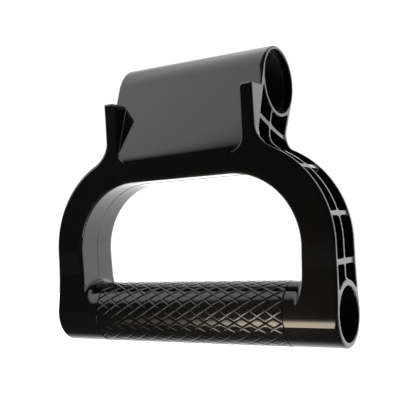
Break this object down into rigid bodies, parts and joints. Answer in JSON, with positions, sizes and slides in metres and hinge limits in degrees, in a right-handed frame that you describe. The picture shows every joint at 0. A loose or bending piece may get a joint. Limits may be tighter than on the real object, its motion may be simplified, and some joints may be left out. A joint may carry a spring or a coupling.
{
  "type": "winch handle",
  "caption": "D-shaped winch handle with a knurled grip sleeve that spins on a core tube, a leaning hollow neck, stop ears and a cross barrel for a shaft.",
  "frame": {"origin": "centre of the grip, on the axis of the core tube's bore", "axes": "+X along the grip and the barrel axis, -Y towards the flat front face and the stop ears, +Z from the grip up to the barrel"},
  "size_m": [0.157, 0.0509, 0.1458],
  "materials": {
    "body_plastic": "high-gloss moulded black",
    "grip_plastic": "glossy black with a moulded diamond knurl",
    "bush_plastic": "self-lubricating bearing plastic, satin dark grey",
    "tube_metal": "black anodised",
    "ring_steel": "black oxide spring steel"
  },
  "bodies": {
    "frame": {"handle_body": "body_plastic", "barrel_bush_left": "bush_plastic", "barrel_bush_right": "bush_plastic", "core_tube": "tube_metal", "thrust_washer_left": "bush_plastic", "thrust_washer_right": "bush_plastic", "retaining_ring_left": "ring_steel", "retaining_ring_right": "ring_steel"},
    "grip": {"grip_sleeve": "grip_plastic", "sleeve_bush_left": "bush_plastic", "sleeve_bush_right": "bush_plastic"}
  },
  "joints": [
    {"name": "grip_spin", "type": "hinge", "parent": "frame", "child": "grip", "pos_m": [0, 0, 0], "axis": [1, 0, 0], "continuous": true}
  ]
}
